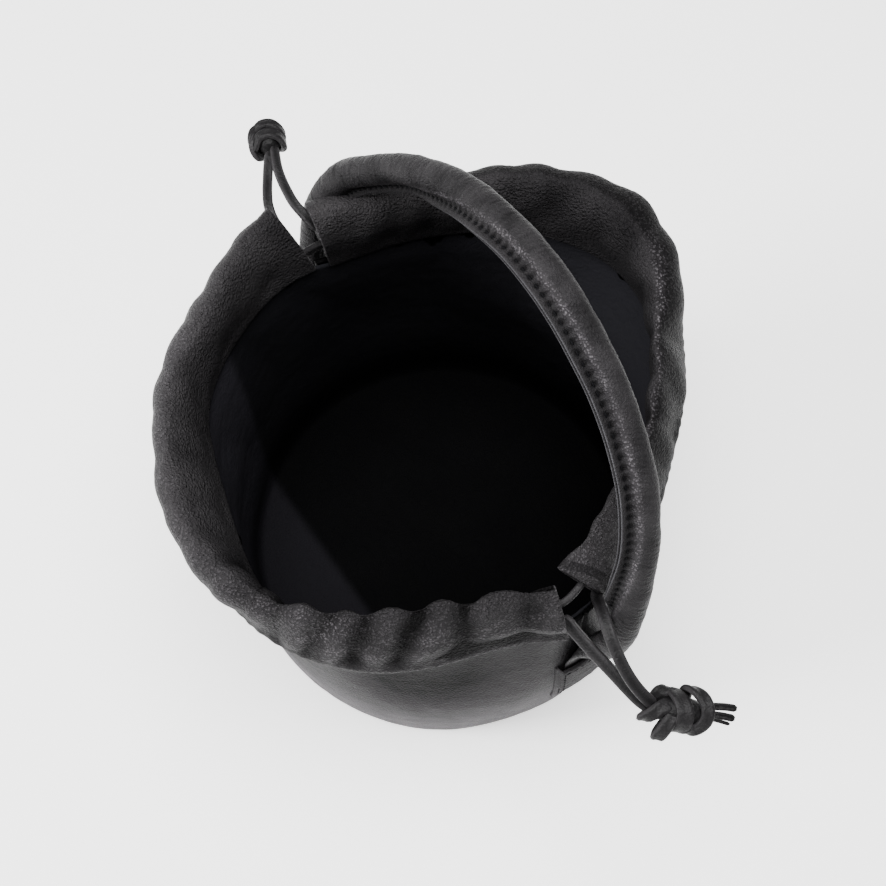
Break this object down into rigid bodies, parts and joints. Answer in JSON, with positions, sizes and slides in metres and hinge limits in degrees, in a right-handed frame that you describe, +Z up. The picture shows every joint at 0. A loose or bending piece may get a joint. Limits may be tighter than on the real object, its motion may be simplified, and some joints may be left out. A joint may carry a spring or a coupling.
{
  "type": "leather drawstring pouch",
  "caption": "Soft leather bucket pouch with gathered drawstring casings, knotted strings at both side slits and one rolled handle over the open mouth.",
  "frame": {"origin": "centre of the base's underside, which rests on z = 0", "axes": "+X at the right side slit of the mouth, +Y at the back of the pouch, +Z up"},
  "size_m": [0.3129, 0.2187, 0.262],
  "materials": {
    "front_panel": "soft pebbled black",
    "back_panel": "soft pebbled black",
    "base": "soft pebbled black",
    "lining": "matt black",
    "casing_front": "soft pebbled black",
    "casing_back": "soft pebbled black",
    "handle": "soft pebbled black",
    "side_patch_left": "soft pebbled black",
    "side_patch_right": "soft pebbled black",
    "drawstring_left_run": "folded strap",
    "drawstring_right_run": "folded strap",
    "drawstring_left_strand_front": "folded strap",
    "drawstring_left_strand_back": "folded strap",
    "drawstring_right_strand_front": "folded strap",
    "drawstring_right_strand_back": "folded strap",
    "knot_left": "folded strap",
    "knot_right": "folded strap"
  },
  "bodies": {
    "root": {"front_panel": "front_panel", "back_panel": "back_panel", "base": "base", "lining": "lining", "casing_front": "casing_front", "casing_back": "casing_back", "handle": "handle", "side_patch_left": "side_patch_left", "side_patch_right": "side_patch_right", "drawstring_left_run": "drawstring_left_run", "drawstring_right_run": "drawstring_right_run", "drawstring_left_strand_front": "drawstring_left_strand_front", "drawstring_left_strand_back": "drawstring_left_strand_back", "drawstring_right_strand_front": "drawstring_right_strand_front", "drawstring_right_strand_back": "drawstring_right_strand_back", "knot_left": "knot_left", "knot_right": "knot_right"}
  },
  "joints": []
}
